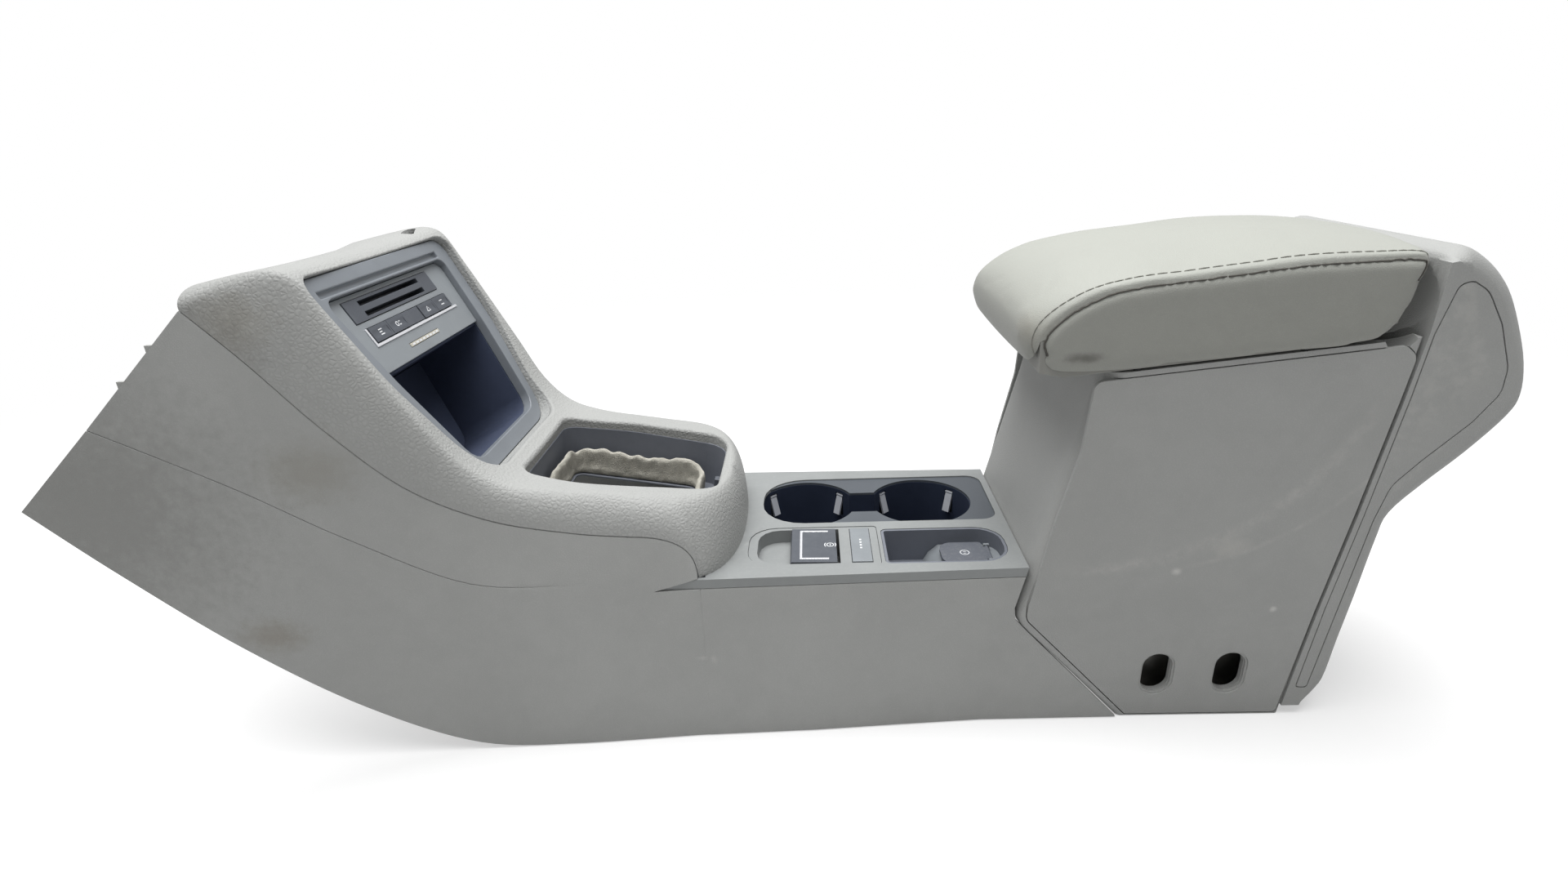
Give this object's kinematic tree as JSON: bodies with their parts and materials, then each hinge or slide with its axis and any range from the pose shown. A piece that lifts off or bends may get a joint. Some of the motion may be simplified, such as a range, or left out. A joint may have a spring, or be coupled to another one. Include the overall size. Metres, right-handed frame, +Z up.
{
  "type": "center console",
  "caption": "Car centre console: leather-grained shell with storage pocket, gear selector opening, cup holders, brake switch, tray and a padded armrest lid over a deep bin.",
  "frame": {"origin": "on the car floor plane, at the middle of the bounding box in plan", "axes": "+X towards the rear of the car, -Y the left side as the car drives (the near side in the picture), +Z up"},
  "size_m": [0.9397, 0.242, 0.3498],
  "materials": {
    "bezel_grey": "fine grain",
    "black_plastic": "moulded, matt",
    "bumper": "matt",
    "chrome_trim": "polished",
    "dark_plastic": "moulded, matt",
    "foam": "open-cell foam look",
    "key_grey": "satin paint",
    "ledge_grey": "fine grain, satin",
    "lens": "frosted",
    "lid_leather": "fine grain with a sewn edge",
    "liner_mat": "ribbed",
    "plate_grey": "satin paint",
    "plated_steel": "zinc plated",
    "shell_grey": "fine leather grain, satin",
    "spring_steel": "brushed"
  },
  "bodies": {
    "console": {"front_surround": "shell_grey", "side_panel_left": "shell_grey", "side_panel_right": "shell_grey", "storage_bezel": "bezel_grey", "storage_box": "black_plastic", "storage_mat": "liner_mat", "switch_plate": "plate_grey", "switch_housing": "black_plastic", "slot_insert": "dark_plastic", "blank_key": "key_grey", "key_trim": "chrome_trim", "indicator_lens": "lens", "shift_liner": "bezel_grey", "shift_gasket": "foam", "gasket_clips": "dark_plastic", "ledge_panel": "ledge_grey", "carrier": "black_plastic", "cup_plate": "plate_grey", "cup_well": "black_plastic", "switch_frame": "dark_plastic", "front_tray": "dark_plastic", "tray_lamp": "lens", "socket_surround": "dark_plastic", "power_socket": "spring_steel", "socket_contact": "chrome_trim", "bin_housing": "shell_grey", "bin_panel_left": "shell_grey", "bin_panel_right": "shell_grey", "bin_liner": "dark_plastic", "bin_mat": "liner_mat", "lid_bumpers": "bumper", "floor_bracket_left": "plated_steel", "floor_bracket_right": "plated_steel", "rear_shell": "shell_grey", "rear_cover_left": "shell_grey", "rear_cover_right": "shell_grey", "rear_access_cover": "dark_plastic", "hinge_bracket": "plated_steel", "hinge_pin": "plated_steel"},
    "armrest": {"armrest_base": "dark_plastic", "armrest_pad": "lid_leather", "hinge_arms": "plated_steel"},
    "key_1": {"key_1": "key_grey"},
    "key_2": {"key_2": "key_grey"},
    "key_4": {"key_4": "key_grey"},
    "key_5": {"key_5": "key_grey"},
    "brake_rocker": {"brake_switch": "key_grey", "brake_trim": "chrome_trim"},
    "hold_button": {"hold_button": "key_grey"},
    "socket_cap": {"socket_cap": "black_plastic"},
    "cup_grip_1": {"cup_grip_1": "spring_steel"},
    "cup_grip_2": {"cup_grip_2": "spring_steel"},
    "cup_grip_3": {"cup_grip_3": "spring_steel"},
    "cup_grip_4": {"cup_grip_4": "spring_steel"}
  },
  "joints": [
    {"name": "armrest_lift", "type": "hinge", "parent": "console", "child": "armrest", "pos_m": [0.357, 0, 0.306], "axis": [0, 1, 0], "range_deg": [0, 70]},
    {"name": "key_1_press", "type": "slide", "parent": "console", "child": "key_1", "axis": [-0.8777, 0, -0.4792], "range_m": [0, 0.0016], "stiffness_N_per_m": 600},
    {"name": "key_2_press", "type": "slide", "parent": "console", "child": "key_2", "axis": [-0.8777, 0, -0.4792], "range_m": [0, 0.0016], "stiffness_N_per_m": 600},
    {"name": "key_4_press", "type": "slide", "parent": "console", "child": "key_4", "axis": [-0.8777, 0, -0.4792], "range_m": [0, 0.0016], "stiffness_N_per_m": 600},
    {"name": "key_5_press", "type": "slide", "parent": "console", "child": "key_5", "axis": [-0.8777, 0, -0.4792], "range_m": [0, 0.0016], "stiffness_N_per_m": 600},
    {"name": "brake_rock", "type": "hinge", "parent": "console", "child": "brake_rocker", "pos_m": [0.034, -0.0455, 0.115], "axis": [0, 1, 0], "range_deg": [-5, 6], "stiffness_Nm_per_rad": 0.6},
    {"name": "hold_press", "type": "slide", "parent": "console", "child": "hold_button", "axis": [0, 0, -1], "range_m": [0, 0.002], "stiffness_N_per_m": 900},
    {"name": "socket_cap_lift", "type": "hinge", "parent": "console", "child": "socket_cap", "pos_m": [0.1587, -0.047, 0.1186], "axis": [0, 1, 0], "range_deg": [0, 100]},
    {"name": "cup_grip_1_give", "type": "hinge", "parent": "console", "child": "cup_grip_1", "pos_m": [0.05449, 0.05529, 0.12], "axis": [0.7071, -0.7071, 0], "range_deg": [0, 16], "stiffness_Nm_per_rad": 0.03},
    {"name": "cup_grip_2_give", "type": "hinge", "parent": "console", "child": "cup_grip_2", "pos_m": [-0.00349, 0.05529, 0.12], "axis": [0.7071, 0.7071, 0], "range_deg": [0, 16], "stiffness_Nm_per_rad": 0.03},
    {"name": "cup_grip_3_give", "type": "hinge", "parent": "console", "child": "cup_grip_3", "pos_m": [0.14699, 0.05529, 0.12], "axis": [0.7071, -0.7071, 0], "range_deg": [0, 16], "stiffness_Nm_per_rad": 0.03},
    {"name": "cup_grip_4_give", "type": "hinge", "parent": "console", "child": "cup_grip_4", "pos_m": [0.08901, 0.05529, 0.12], "axis": [0.7071, 0.7071, 0], "range_deg": [0, 16], "stiffness_Nm_per_rad": 0.03}
  ]
}
